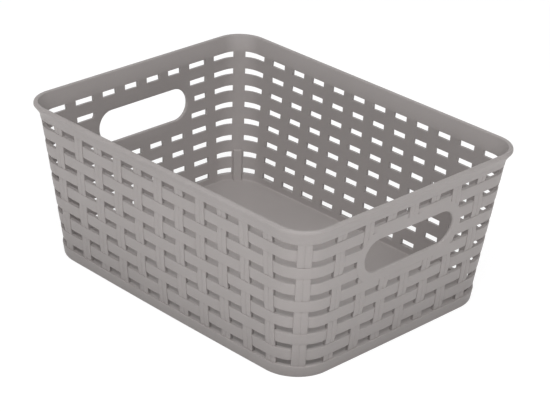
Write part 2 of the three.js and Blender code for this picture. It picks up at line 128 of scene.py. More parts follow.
class BasketForm(bpy.types.PropertyGroup):
    """The tapered shape that every piece follows"""
    base_length: length("Base Length", "Woven wall, outside, at table height", 321)
    base_width: length("Base Width", "Woven wall, outside, at table height", 237)
    height: length("Height", "Table to the top of the rim", 147.5)
    end_lean: angle("End Lean", "Lean of the two short walls", 5.8)
    side_lean: angle("Side Lean", "Lean of the two long walls", 4.85)
    long_bow: length("Long Bow", "The middle of a long wall stands out from a straight one by this", 2.4)
    short_bow: length("Short Bow", "The same for a short wall", 0.9)
    bow_foot: length("Bow Foot", "The bow would run out this far below the table", 20)
    base_radius: length("Base Radius", "Outside corner at the base", 34)
    top_radius: length("Top Radius", "Outside corner of the wall line at the rim", 25)
    wall: length("Wall", "Outermost face of the weave to the smooth inside", 3.2)


class WeaveSizes(bpy.types.PropertyGroup):
    """Stakes, bands and slots of the woven walls"""
    bands: IntProperty(name="Bands", description="Rows of bands from the foot to the rim", default=7, min=1)
    slot_height: length("Slot Height", "Height of a slot", 6.1)
    long_end: length("Long End", "Middle of a long wall to its last stake, at the base", 131.5)
    short_end: length("Short End", "Middle of a short wall to its last stake, at the base", 81.4)
    end_bay_extra: length("End Bay Extra", "The short walls' last bays are wider by this", 2)
    long_lean: angle("Long Stake Lean", "Lean of the last stakes of the long walls", 0.8)
    short_lean: angle("Short Stake Lean", "Lean of the last stakes of the short walls", 1.35)
    stake_width: length("Stake Width", "Width of a stake", 10.7)
    corner_width: length("Corner Stake Width", "Width of a corner stake", 12.2)
    corner_shift: length("Corner Stake Shift", "Corner stakes sit this far round to the short walls", 2)
    relief: length("Relief", "A band sinks by this where it passes behind a stake", 0.75)
    groove: length("Groove", "Depth of the line between a stake's two strands", 0.42)
    shoulder: length("Shoulder", "Rounding of a stake's outer edges", 0.3)
    dive: length("Dive", "A stake sinks by this where it goes under a band", 0.5)
    upper_edge: length("Upper Edge", "Rounding of a band's upper edge", 0.15)
    lower_edge: length("Lower Edge", "Rounding of a band's lower edge", 0.08)
    slot_fall: length("Slot Fall", "The lower side of a slot falls outwards by this", 0.4)
    strand_fullness: FloatProperty(name="Strand Fullness", description="Lower is flatter across a strand",
                                   default=0.55, min=0.1, max=1)


class RimAndFoot(bpy.types.PropertyGroup):
    """Plain bands above and below the weave, and the floor"""
    rim_height: length("Rim Height", "Lower edge of the plain band to the top of the rim", 14.9)
    rim_flare: length("Rim Flare", "The lip stands out from the wall line by this", 4.4)
    rim_straight: length("Rim Straight", "Plain band below the flare", 4.0)
    rim_step: length("Rim Step", "The rim stands proud of the weave by this", 0.3)
    lip: length("Lip", "Thickness of the rim's rounded lip", 3.1)
    lip_width: length("Lip Width", "Width of the lip over its top", 4.4)
    foot_height: length("Foot Height", "Table to the top of the foot band", 11)
    foot_step: length("Foot Step", "The foot stands proud of the weave by this", 1)
    foot_round: length("Foot Round", "Rounding of the foot's lower edge", 1.6)
    floor_top: length("Floor Top", "Inside floor above the table", 5)
    floor_thickness: length("Floor Thickness", "Thickness of the floor", 2.4)
    floor_cove: length("Floor Cove", "Radius where the floor meets the walls", 0.8)


class HandleSizes(bpy.types.PropertyGroup):
    """Finger openings and the nesting stops inside the corners"""
    drop: length("Drop", "Lower edge of the rim to the middle of the opening", 35.6)
    opening_length: length("Opening Length", "Length of the finger opening", 107)
    opening_height: length("Opening Height", "Height of the finger opening", 31)
    surround: length("Surround", "Width of the plain ring round the opening", 9.6)
    surround_depth: length("Surround Depth", "The ring's thickness", 3.2)
    surround_round: length("Surround Round", "Rounding where fingers hold the ring", 1.2)
    stop_width: length("Stop Width", "Width of a nesting stop", 9.6)
    stop_top: length("Stop Top", "Top of a nesting stop above the table", 35.5)
    stop_depth: length("Stop Depth", "A nesting stop stands in from the wall by this", 2.2)


class PlasticFinish(bpy.types.PropertyGroup):
    """Satin moulded plastic"""
    colour: FloatVectorProperty(name="Colour", description="Warm grey of the plastic", subtype="COLOR",
                                default=(0.331, 0.306, 0.3), min=0, max=1)
    tone_change: share("Tone Change", "How much the colour drifts over the moulding", 0.05)
    roughness: share("Roughness", "Mean roughness of the surface", 0.5)
    roughness_change: share("Roughness Change", "How much the roughness varies", 0.1)
    grain: length("Grain", "Height of the mould's fine grain", 0.02)


class StageLook(bpy.types.PropertyGroup):
    """Floor, light and camera"""
    sky: FloatProperty(name="Sky", description="Strength of the even light", default=0.05, min=0)
    lamp: FloatProperty(name="Lamps", description="Power of the soft boxes", default=64, min=0, unit="POWER")
    aim: length("Aim", "Height that the soft boxes point at", 80)
    bounce: share("Bounce", "Share of the light that the floor sends back up", 0.95)
    # painted shade: close to the basket the floor's colour is darker, so it sends less light onto the foot
    # and the lower walls
    near_bounce_painted_shade: share("Near Bounce", "The same close to the basket", 0.62)
    near: length("Near", "The floor's bounce is full from this far off", 140)
    # painted light: the floor glows onto the basket though it is no lamp, in place of light bounced off a lit
    # floor
    painted_floor_glow: FloatProperty(name="Glow", description="Light that the lit studio floor adds", default=0.58, min=0)
    paper: share("Paper", "Brightness of the floor in full shadow, as the camera sees it", 0.89)
    shadow: share("Shadow", "How much the lamps brighten the floor that the camera sees", 0.2)


class BasketSettings(bpy.types.PropertyGroup):
    """Everything the basket is built from"""
    form: PointerProperty(type=BasketForm)
    weave: PointerProperty(type=WeaveSizes)
    bands: PointerProperty(type=RimAndFoot)
    handle: PointerProperty(type=HandleSizes)
    plastic: PointerProperty(type=PlasticFinish)
    stage: PointerProperty(type=StageLook)


# Node trees written as expressions

def maths_method(operation, reflected=False):
    """A method that adds a Math node for its own term and what it is used with."""
    def method(self, *others):
        values = (*others, self) if reflected else (self, *others)
        return self.graph.maths(operation, *values)
    return method


class Term:
    """A socket of a node tree, used like a number in an expression."""

    def __init__(self, graph, socket):
        self.graph = graph
        self.socket = socket

    def __neg__(self):
        return 0 - self

    __add__ = __radd__ = maths_method("ADD")
    __sub__ = maths_method("SUBTRACT")
    __rsub__ = maths_method("SUBTRACT", reflected=True)
    __mul__ = __rmul__ = maths_method("MULTIPLY")
    __truediv__ = maths_method("DIVIDE")
    __rtruediv__ = maths_method("DIVIDE", reflected=True)
    __mod__ = maths_method("FLOORED_MODULO")
    __pow__ = maths_method("POWER")
    __gt__ = maths_method("GREATER_THAN")
    __lt__ = maths_method("LESS_THAN")
    __abs__ = maths_method("ABSOLUTE")
    least = maths_method("MINIMUM")
    most = maths_method("MAXIMUM")
    floor = maths_method("FLOOR")
    sign = maths_method("SIGN")
    sin = maths_method("SINE")
    cos = maths_method("COSINE")
    tan = maths_method("TANGENT")


class Graph:
    """A node tree, and the two ways in which nodes are added to it."""

    def __init__(self, tree):
        self.tree = tree

    def feed(self, socket, value):
        if isinstance(value, Term):
            value = value.socket
        if isinstance(value, bpy.types.NodeSocket):
            self.tree.links.new(value, socket)
        else:
            socket.default_value = value

    def add(self, kind, settings=None, sockets=None):
        """Adds a node: its settings first, then the values or links of its sockets."""
        node = self.tree.nodes.new(kind)
        for name, value in (settings or {}).items():
            setattr(node, name, value)
        for name, value in (sockets or {}).items():
            self.feed(node.inputs[name], value)
        return node

    def maths(self, operation, *values):
        node = self.add("ShaderNodeMath", {"operation": operation}, dict(enumerate(values)))
        return Term(self, node.outputs[0])

    def out(self, node, name=0):
        return Term(self, node.outputs[name])


def empty_graph(owner):
    """The node tree of a material or a world, with nothing in it."""
    owner.use_nodes = True
    owner.node_tree.nodes.clear()
    return Graph(owner.node_tree)


def choose(condition, yes, no):
    """yes where the condition is 1 and no where it is 0."""
    return no + (yes - no) * condition


def ease(value):
    """Runs from 0 to 1 as value does, with its points gathered at both ends."""
    return (1 - (value * math.pi).cos()) / 2


def stepped(step, steps, gathered=False):
    """Runs from 0 to 1 over so many steps, of which the first and the last are tiny, for an upright edge.

    The steps between them are even, or gathered at both ends.
    """
    inner = ((step - 1) / (steps - 2)).most(0).least(1)
    if gathered:
        inner = ease(inner)
    ends = step.most(0).least(1) + (step - (steps - 1)).most(0)
    return inner * (1 - 2 * EDGE_SHARE) + ends * EDGE_SHARE


class ShapeTree(Graph):
    """A geometry tree, ending in real faces and their material.

    Its named inputs and their defaults come from a piece's values.
    """

    KINDS = {bool: "NodeSocketBool", int: "NodeSocketInt", float: "NodeSocketFloat"}

    def __init__(self, name, values):
        super().__init__(bpy.data.node_groups.new(name, "GeometryNodeTree"))
        self.tree.is_modifier = True
        face = self.tree.interface
        face.new_socket("Geometry", in_out="INPUT", socket_type="NodeSocketGeometry")
        for title, value in values.items():
            socket = face.new_socket(title, in_out="INPUT", socket_type=self.KINDS[type(value)])
            socket.default_value = value
        face.new_socket("Material", in_out="INPUT", socket_type="NodeSocketMaterial")
        face.new_socket("Geometry", in_out="OUTPUT", socket_type="NodeSocketGeometry")
        self.inputs = self.tree.nodes.new("NodeGroupInput").outputs

    def __getitem__(self, title):
        return Term(self, self.inputs[title])

    def position(self):
        where = self.add("GeometryNodeInputPosition").outputs[0]
        split = self.add("ShaderNodeSeparateXYZ", sockets={0: where})
        return [self.out(split, i) for i in range(3)]

    def point(self, x, y, z):
        return self.add("ShaderNodeCombineXYZ", sockets={0: x, 1: y, 2: z}).outputs[0]

    def place(self, geometry, position):
        node = self.add("GeometryNodeSetPosition", sockets={"Geometry": geometry, "Position": position})
        return node.outputs[0]

    def lattice(self, columns, rows):
        """A grid whose points lie at their own column and row number."""
        grid = self.add("GeometryNodeMeshGrid", sockets={
            "Size X": columns - 1, "Size Y": rows - 1, "Vertices X": columns, "Vertices Y": rows})
        x, y, _ = self.position()
        column = (x + (columns - 1) / 2 + 0.5).floor()
        row = (y + (rows - 1) / 2 + 0.5).floor()
        return self.place(grid.outputs[0], self.point(column, row, 0.0))

    def thicken(self, sheet, merge):
        """A closed body one unit thick, with the sheet as its lower skin."""
        raised = self.add("GeometryNodeExtrudeMesh", {"mode": "FACES"}, {
            "Mesh": sheet, "Offset": self.point(0.0, 0.0, 1.0), "Individual": False}).outputs[0]
        under = self.add("GeometryNodeFlipFaces", sockets={"Mesh": sheet}).outputs[0]
        both = self.add("GeometryNodeJoinGeometry")
        self.tree.links.new(raised, both.inputs[0])
        self.tree.links.new(under, both.inputs[0])
        return self.add("GeometryNodeMergeByDistance", sockets={
            "Geometry": both.outputs[0], "Distance": merge}).outputs[0]

    def finish(self, geometry):
        real = self.add("GeometryNodeRealizeInstances", sockets={"Geometry": geometry}).outputs[0]
        smooth = self.add("GeometryNodeSetShadeSmooth", sockets={"Geometry": real}).outputs[0]
        done = self.add("GeometryNodeSetMaterial", sockets={
            "Geometry": smooth, "Material": self.inputs["Material"]})
        output = self.tree.nodes.new("NodeGroupOutput")
        self.tree.links.new(done.outputs[0], output.inputs[0])
        return self.tree


def form_inputs(settings):
    """Inputs that every tree needs for the basket's form."""
    form = settings.form
    return {
        "Base Length": form.base_length, "Base Width": form.base_width, "Height": form.height,
        "End Lean": form.end_lean, "Side Lean": form.side_lean,
        "Base Radius": form.base_radius, "Top Radius": form.top_radius, "Wall": form.wall,
        "Long Bow": form.long_bow, "Short Bow": form.short_bow,
        "Bow Foot": form.bow_foot, "Bow Top": form.height - settings.bands.rim_height,
    }


class Outline:
    """The tapered, slightly bowed rectangle that every piece follows, as expressions of one tree.

    Sides run anticlockwise from above: 0 front, 1 right, 2 back, 3 left. Even ones are the long walls.
    """

    def __init__(self, shape):
        self.shape = shape
        self.end_slope = shape["End Lean"].tan()
        self.side_slope = shape["Side Lean"].tan()

    def radius(self, height):
        s = self.shape
        return s["Base Radius"] + (s["Top Radius"] - s["Base Radius"]) * height / s["Height"]

    def halves(self, side, height):
        """Half the basket along a side, and from its middle to that side."""
        odd = side % 2
        long_half = self.shape["Base Length"] / 2 + height * self.end_slope
        short_half = self.shape["Base Width"] / 2 + height * self.side_slope
        return choose(odd, short_half, long_half), choose(odd, long_half, short_half)

    def corner_run(self, half, height):
        """Distance along the wall from the middle of a side to the middle of its corner."""
        return half - self.radius(height) * (1 - math.pi / 4)

    def bow(self, side, along, height):
        """How far a wall stands out from a straight one.

        It stands out most halfway up its middle, and not at all at the corners and the rim. The curve along
        the wall is level at its middle and at both corners.
        """
        s = self.shape
        half, plane = self.halves(side, height)
        run, next_run = self.corner_run(half, height), self.corner_run(plane, height)
        odd = side % 2
        onward = abs(along) > run
        share = choose(onward, (run + next_run - abs(along)) / next_run, abs(along) / run) ** 2
        most = choose(abs(odd - onward), s["Short Bow"], s["Long Bow"])
        rise = ((height + s["Bow Foot"]) / (s["Bow Top"] + s["Bow Foot"]) * math.pi).sin().most(0)
        return most * rise * (1 - 1.5 * share + 0.5 * share ** 3)

    def point(self, side, along, height, depth):
        """A point from its side, distance along it, height, and depth, which is positive outwards."""
        radius = self.radius(height)
        half, plane = self.halves(side, height)
        depth = depth + self.bow(side, along, height)
        straight = half - radius
        arc = radius * (math.pi / 2)
        beyond = (abs(along) - straight).most(0)
        turn = beyond.least(arc) / radius
        past = (beyond - arc).most(0)
        reach = radius + depth
        u = along.sign() * (abs(along).least(straight) + reach * turn.sin())
        v = plane + depth - reach * (1 - turn.cos()) - past
        facing = side * (math.pi / 2)
        x = u * facing.cos() + v * facing.sin()
        y = u * facing.sin() - v * facing.cos()
        return x, y, height


# The woven walls and corners

def woven_tree(values):
    """One wall or corner: a lattice of stakes and bands, slotted, thickened and laid on the basket's form."""
    s = ShapeTree("Woven Wall", values)
    outline = Outline(s)
    bands = s["Bands"]
    cell_lines = s["Bay Steps"] + STAKE_STEPS

    # Lattice, with the slots taken out and a second skin for the inside
    rows = bands * ROW_STEPS + SLOT_STEPS + 1
    sheet = s.lattice(s["Lines"], rows)
    column, row, _ = s.position()
    in_bay = ((column + s["First Line"]) % cell_lines) > STAKE_STEPS
    in_slot = (row % ROW_STEPS) < SLOT_STEPS
    slotted = s.add("GeometryNodeDeleteGeometry", {"domain": "FACE"}, {
        "Geometry": sheet, "Selection": in_bay * in_slot}).outputs[0]
    body = s.thicken(slotted, LATTICE_MERGE)

    # Which stake and band each point belongs to. Limits lie halfway between the whole numbers that they part
    column, row, skin = s.position()
    line = column + s["First Line"]
    cell = ((line + 0.5) / cell_lines).floor()
    step = line - cell * cell_lines
    on_stake = step < STAKE_STEPS + 0.5
    level = ((row + 0.5) / ROW_STEPS).floor()
    row_step = row - level * ROW_STEPS
    slot_share = stepped(row_step.least(SLOT_STEPS), SLOT_STEPS)
    band_share = ease(((row_step - SLOT_STEPS) / BAND_STEPS).most(0))
    band_height = s["Row Pitch"] - s["Slot Height"]
    fall = s["Slot Fall"] * (skin < 0.5)
    slot_low = fall * (level > 0.5)
    height = (s["Foot Height"] + level * s["Row Pitch"] + slot_low
              + slot_share * (s["Slot Height"] - slot_low) + band_share * (band_height + fall))

    # Distance along the wall
    half, plane = outline.halves(s["Side"], height)
    end_stake = s["End Stake"] + s["End Stake Lean"].tan() * height
    next_end = s["Next End Stake"] + s["Next End Stake Lean"].tan() * height
    corner = outline.corner_run(half, height)
    next_corner = outline.corner_run(plane, height)
    spacing = (s["End Stake"] - s["End Bay Extra"]) / s["Half Count"]

    def stake_centre(number):
        place = number - s["Half Count"]
        last = abs(place) > s["Half Count"] - 0.5
        centre = choose(last, place.sign() * end_stake, place * spacing)
        centre = choose(place > s["Half Count"] + 0.5, corner + s["Corner Shift"], centre)
        return choose(place > s["Half Count"] + 1.5, corner + next_corner - next_end, centre)

    def stake_width(number):
        away = abs(number - s["Half Count"] * 2 - 1)
        return choose(away < 0.5, s["Corner Stake Width"], s["Stake Width"])

    across = (step / STAKE_STEPS).least(1)
    strand = across.least(1 - across) * 2
    half_share = ease(strand) / 2
    stake_share = choose(across > 0.5, 1 - half_share, half_share)
    bay_share = stepped((step - STAKE_STEPS).most(0), s["Bay Steps"], True)
    stake_along = stake_centre(cell) + stake_width(cell) * (stake_share - 0.5)
    bay_left = stake_centre(cell) + stake_width(cell) / 2
    bay_right = stake_centre(cell + 1) - stake_width(cell + 1) / 2
    bay_along = bay_left + (bay_right - bay_left) * bay_share
    along = choose(on_stake, stake_along, bay_along)

    # Depth of the outside. Stakes and bands come to the front in turn
    def band_over(band):
        real = (band > -0.5) * (band < bands - 0.5)
        return real * ((cell + band + 1) % 2)

    below_edge = row_step < 0.5
    band_row = below_edge.most(row_step > SLOT_STEPS - 0.5)
    band = level - below_edge
    at_lower_edge = (row_step > SLOT_STEPS - 0.5) * (row_step < SLOT_STEPS + 0.5)
    band_edge = below_edge * s["Upper Edge"] + at_lower_edge * s["Lower Edge"]

    def dive_near(distance):
        return ((distance * math.pi).cos() + 1) / 2

    over = band_over(band) * band_row
    dive = s["Dive"] * (band_over(level) * dive_near(1 - slot_share)
                        + band_over(level - 1) * dive_near(slot_share)) * (1 - band_row)
    round_share = (strand * math.pi).sin().most(0) ** s["Fullness"]
    low = dive + choose(strand > 0.5, s["Groove"], s["Shoulder"])
    strand_drop = low + (dive - low) * round_share
    stake_drop = choose(over, band_edge, strand_drop)

    left_over = (cell + band + 1) % 2
    from_over = choose(left_over, bay_share, 1 - bay_share)
    bay_drop = s["Relief"] * from_over ** BAND_TURN + band_edge
    drop = choose(on_stake, stake_drop, bay_drop)
    depth = -choose(skin > 0.5, drop, s["Wall"])
    wall = s.place(body, s.point(*outline.point(s["Side"], along, height, depth)))

    # The handle and its surround are cleared with a long rounded body
    disc = s.add("GeometryNodeMeshCircle", {"fill_type": "NGON"}, {"Vertices": 2 * HANDLE_POINTS}).outputs[0]
    index = s.out(s.add("GeometryNodeInputIndex"))
    slot_along, slot_height = stadium(s, index, 0.0)
    flat = s.place(disc, s.point(slot_along, slot_height, 0.0))
    cutter = s.thicken(flat, MERGE)
    x, y, z = s.position()
    reach = (z - 0.5) * (2 * CUTTER_REACH)
    cutter = s.place(cutter, s.point(*outline.point(s["Side"], x, y, reach)))
    cut = s.add("GeometryNodeMeshBoolean", {"operation": "DIFFERENCE", "solver": "EXACT"}, {
        "Mesh 1": wall, "Mesh 2": cutter}).outputs[0]
    chosen = s.add("GeometryNodeSwitch", {"input_type": "GEOMETRY"}, {
        "Switch": s["Handle"], "False": wall, "True": cut}).outputs[0]
    return s.finish(chosen)


def stadium(s, index, grow):
    """Distance along the wall and height of a point on a handle's outline, round its two ends."""
    second = index > HANDLE_POINTS - 0.5
    end = 1 - second * 2
    turn = (index - second * HANDLE_POINTS) * (math.pi / HANDLE_STEPS) - math.pi / 2
    radius = s["Handle Height"] / 2 + grow
    straight = (s["Handle Length"] - s["Handle Height"]) / 2
    along = end * (straight + radius * turn.cos())
    height = s["Handle Centre"] + end * radius * turn.sin()
    return along, height


# Pieces swept round the basket or round a handle

def swept(s, round_steps, closed, position):
    """Sweeps the section that the tree is given through round_steps places."""
    section = s.inputs["Geometry"]
    count = s.out(s.add("GeometryNodeAttributeDomainSize", sockets={"Geometry": section}), "Point Count")
    lattice = s.lattice(round_steps + 1, count + int(closed))
    column, row, _ = s.position()
    sample = s.add("GeometryNodeSampleIndex", {"data_type": "FLOAT_VECTOR", "domain": "POINT"}, {
        "Geometry": section, "Value": s.add("GeometryNodeInputPosition").outputs[0], "Index": row % count})
    split = s.add("ShaderNodeSeparateXYZ", sockets={0: sample.outputs[0]})
    place = position(column % round_steps, *[s.out(split, i) for i in range(3)])
    body = s.place(lattice, s.point(*place))
    return s.add("GeometryNodeMergeByDistance", sockets={"Geometry": body, "Distance": MERGE}).outputs[0]


def ring_tree(name, values, closed):
    """A section of depth, share towards the middle, and height, swept round the basket."""
    s = ShapeTree(name, values)
    outline = Outline(s)
    side_steps = STRAIGHT_STEPS + ARC_STEPS

    def position(column, depth, inward, height):
        side = ((column + 0.5) / side_steps).floor()
        step = column - side * side_steps
        half, _ = outline.halves(side, height)
        radius = outline.radius(height)
        straight = half - radius
        run = straight * ((step / STRAIGHT_STEPS).least(1) * 2 - 1)
        turned = radius * (math.pi / 2) * ((step - STRAIGHT_STEPS) / ARC_STEPS).most(0)
        x, y, z = outline.point(side, run + turned, height, depth)
        return x * (1 - inward), y * (1 - inward), z

    return s.finish(swept(s, 4 * side_steps, closed, position))


def handle_ring_tree(values):
    """A section of growth and depth, swept round a finger opening."""
    s = ShapeTree("Handle Ring", values)
    outline = Outline(s)

    def position(column, grow, _, depth):
        along, height = stadium(s, column, grow)
        return outline.point(s["Side"], along, height, depth)

    return s.finish(swept(s, 2 * HANDLE_POINTS, True, position))


def nesting_stop_tree(values):
    """An upright block in the inside corner that follows a side."""
    s = ShapeTree("Nesting Stop", values)
    outline = Outline(s)
    block = s.add("GeometryNodeMeshCube", sockets={
        "Size": (1.0, 1.0, 1.0), "Vertices X": STOP_STEPS + 1, "Vertices Y": 2, "Vertices Z": 2}).outputs[0]
    x, y, z = s.position()
    height = s["Bottom"] + (s["Top"] - s["Bottom"]) * (z + 0.5)
    half, _ = outline.halves(s["Side"], height)
    along = outline.corner_run(half, height) + s["Shift"] + s["Width"] * x
    depth = -s["Wall"] + s["Tuck"] - (s["Stand In"] + s["Tuck"]) * (y + 0.5)
    return s.finish(s.place(block, s.point(*outline.point(s["Side"], along, height, depth))))


# Sections of the swept pieces, as lists of points in metres

def quarter(steps, first=0):
    """The angles that divide a quarter turn into so many steps, from the first one asked for."""
    return [math.pi / 2 * i / steps for i in range(first, steps + 1)]


def rim_section(settings):
    """Depth and height round the rim's section: up the outside, over the lip and down the inside."""
    form, bands = settings.form, settings.bands
    top = form.height
    low = top - bands.rim_height
    bend = low + bands.rim_straight
    under = top - bands.lip
    outer = bands.lip_width * CREST_PLACE
    inner = bands.lip_width - outer
    fall = bands.lip * LIP_FALL
    crest = bands.rim_flare - outer
    step = bands.rim_step
    flare = bands.rim_flare - RIM_EDGE - step
    points = [(step - RIM_EDGE, low), (step, low + RIM_EDGE), (step, bend)]
    for i in range(1, FLARE_STEPS + 1):
        part = i / FLARE_STEPS
        points.append((step + flare * part ** FLARE_CURVE, bend + (under - bend) * part))
    points.append((bands.rim_flare, under + RIM_EDGE * RIM_EDGE_RISE))
    for turn in quarter(LIP_OUTER_STEPS):
        height = top - (bands.lip - RIM_EDGE) * (1 - math.sin(turn))
        points.append((crest + outer * math.cos(turn), height))
    for turn in quarter(LIP_INNER_STEPS, 1):
        points.append((crest - inner * math.sin(turn), top - fall * (1 - math.cos(turn))))
    depth, height = points[-1]
    for i in range(1, RIM_INSIDE_STEPS + 1):
        part = 1 - i / RIM_INSIDE_STEPS
        points.append((-form.wall + (depth + form.wall) * part ** INSIDE_CURVE, low + (height - low) * part))
    return [(depth, 0.0, height) for depth, height in points]


def foot_section(settings):
    """Depth and height round the foot's section: from its lower edge up the outside and down the inside."""
    form, bands = settings.form, settings.bands
    step, soft = bands.foot_step, bands.foot_round
    ledge_depth, ledge_height = step - FOOT_LEDGE, bands.foot_height - FOOT_LEDGE
    points = [(step - soft, 0.0)]
    for turn in quarter(FOOT_STEPS, 1):
        points.append((step - soft + soft * math.sin(turn), soft * (1 - math.cos(turn))))
    points.append((step, bands.foot_height / 2))
    for turn in quarter(LEDGE_STEPS):
        points.append((ledge_depth + FOOT_LEDGE * math.cos(turn), ledge_height + FOOT_LEDGE * math.sin(turn)))
    points += [(-form.wall, bands.foot_height), (-form.wall, bands.floor_top), (-form.wall, 0.0)]
    return [(depth, 0.0, height) for depth, height in points]


def floor_section(settings):
    """From the middle of the underside, out to the wall, up the cove and back to the middle of the top."""
    form, bands = settings.form, settings.bands
    under = bands.floor_top - bands.floor_thickness
    cove = bands.floor_cove
    points = [(-form.wall, part, under) for part in (*FLOOR_RINGS, 0.0)]
    points.append((-form.wall, 0.0, bands.floor_top + cove))
    for turn in quarter(COVE_STEPS, 1):
        depth = -form.wall - cove * (1 - math.cos(turn))
        points.append((depth, 0.0, bands.floor_top + cove * (1 - math.sin(turn))))
    points += [(-form.wall - cove, part, bands.floor_top) for part in reversed(FLOOR_RINGS)]
    return points


def surround_section(settings):
    """Growth and depth round the section of a handle's ring. The opening's edge is rounded on both faces."""
    handle = settings.handle
    soft, inside = handle.surround_round, -handle.surround_depth
    points = [(handle.surround, inside), (handle.surround, 0.0)]
    for turn in quarter(SURROUND_STEPS):
        points.append((soft - soft * math.sin(turn), -soft + soft * math.cos(turn)))
    for turn in quarter(SURROUND_STEPS):
        points.append((soft - soft * math.cos(turn), inside + soft - soft * math.sin(turn)))
    return [(grow, 0.0, depth) for grow, depth in points]


# Making pieces

def line_mesh(name, points):
    """A mesh of one open line through the points."""
    mesh = bpy.data.meshes.new(name)
    mesh.from_pydata(points, [(i, i + 1) for i in range(len(points) - 1)], [])
    return mesh


def keep_result(piece, modifier):
    """Makes what a modifier shows the piece's plain mesh."""
    bpy.context.view_layer.update()
    evaluated = piece.evaluated_get(bpy.context.evaluated_depsgraph_get())
    mesh = bpy.data.meshes.new_from_object(evaluated)
    piece.modifiers.remove(modifier)
    piece.data = mesh
    mesh.name = piece.name
    return mesh


def grow_piece(name, tree, values, material, start=None):
    """Runs a shape tree once and keeps its result as a plain mesh."""
    piece = bpy.data.objects.new(name, start or bpy.data.meshes.new(name))
    bpy.context.scene.collection.objects.link(piece)
    modifier = piece.modifiers.new("Shape", "NODES")
    modifier.node_group = tree
    given = {**values, "Material": material}
    for item in tree.interface.items_tree:
        if item.item_type == "SOCKET" and item.in_out == "INPUT" and item.name in given:
            modifier[item.identifier] = given[item.name]
    mesh = keep_result(piece, modifier)
    if not mesh.polygons:
        raise RuntimeError(f"{name} came out empty")
    mesh.set_sharp_from_angle(angle=SHARP_ANGLE)
    return piece


def settle(piece, *nodes):
    """Puts a piece on the basket's body, in place of its CAD nodes."""
    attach(piece, BODY)
    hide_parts(*nodes)


def smooth_edges(piece):
    """Rounds a nesting stop's edges and keeps the result as its mesh."""
    bevel = piece.modifiers.new("Rounded", "BEVEL")
    bevel.width = STOP_EDGE
    bevel.segments = STOP_EDGE_STEPS
    bevel.limit_method = "ANGLE"
    bevel.angle_limit = BEVEL_ANGLE
    keep_result(piece, bevel).shade_smooth()


def settings_and_plastic(context):
    """The panel's settings, and the plastic made from them."""
    settings = context.scene.woven_basket
    return settings, moulded_plastic(settings.plastic)


def handle_inputs(settings, grow):
    """Inputs of a finger opening, made larger by this much all round."""
    handle = settings.handle
    return {
        "Handle Centre": settings.form.height - settings.bands.rim_height - handle.drop,
        "Handle Length": handle.opening_length + 2 * grow,
        "Handle Height": handle.opening_height + 2 * grow,
    }


def ring_inputs(settings, side):
    """Inputs of the ring round the finger opening on a side."""
    return {**form_inputs(settings), **handle_inputs(settings, 0.0), "Side": side}


def stop_inputs(settings, side):
    """Inputs of the nesting stop in the corner that follows a side."""
    handle, shift = settings.handle, settings.weave.corner_shift
    return {
        **form_inputs(settings), "Side": side, "Shift": -shift if side % 2 else shift,
        "Width": handle.stop_width, "Stand In": handle.stop_depth, "Tuck": STOP_TUCK,
        "Bottom": settings.bands.floor_top - STOP_TUCK, "Top": handle.stop_top,
    }


def woven_inputs(settings, side, corner):
    """Inputs of the wall on a side, or of the corner that follows it."""
    weave, bands = settings.weave, settings.bands
    on_long = side % 2 == 0
    stakes = LONG_STAKES if on_long else SHORT_STAKES
    bay_steps = CORNER_BAY_STEPS if corner else BAY_STEPS
    cell = STAKE_STEPS + bay_steps
    first = stakes * cell - bay_steps if corner else 0
    lines = cell + bay_steps + 1 if corner else stakes * cell - bay_steps + 1
    woven_height = settings.form.height - bands.rim_height - bands.foot_height
    long_place = (weave.long_end, weave.long_lean)
    short_place = (weave.short_end, weave.short_lean)
    own, following = (long_place, short_place) if on_long else (short_place, long_place)
    return {
        **form_inputs(settings), **handle_inputs(settings, settings.handle.surround),
        "Side": side, "First Line": first, "Lines": lines, "Bay Steps": bay_steps,
        "Half Count": stakes // 2, "Bands": weave.bands, "Foot Height": bands.foot_height,
        "Row Pitch": (woven_height - weave.slot_height) / weave.bands, "Slot Height": weave.slot_height,
        "End Stake": own[0], "End Stake Lean": own[1],
        "End Bay Extra": 0.0 if on_long else weave.end_bay_extra,
        "Next End Stake": following[0], "Next End Stake Lean": following[1],
        "Stake Width": weave.stake_width, "Corner Stake Width": weave.corner_width,
        "Corner Shift": weave.corner_shift if on_long else -weave.corner_shift,
        "Relief": weave.relief, "Shoulder": weave.shoulder, "Groove": weave.groove, "Dive": weave.dive,
        "Fullness": weave.strand_fullness, "Slot Fall": weave.slot_fall,
        "Upper Edge": weave.upper_edge, "Lower Edge": weave.lower_edge,
        "Handle": not corner and not on_long,
    }


# Finish. Each noise has its scale, detail and roughness

DRIFT = (16, 3, 0.5)  # slow change of tone, over centimetres
MOTTLE = (420, 2, 0.5)  # faint blotches of a few millimetres
GRAIN = (2600, 2, 0.6)  # the mould's fine grain
DRIFT_TONE = 1.3  # what the drift and the mottle add to the tone
MOTTLE_TONE = 0.5
DEEP_WARMTH = (1.0, 1.06, 1.16)  # the deep tone loses this much more of each colour
DRIFT_ROUGHNESS = 0.08
GRAIN_BUMP = 0.7  # shares of the grain and the mottle in the bump
MOTTLE_BUMP = 0.3
BUMP_STRENGTH = 0.55
PLASTIC_IOR = 1.47
PLASTIC_SPECULAR = 0.4


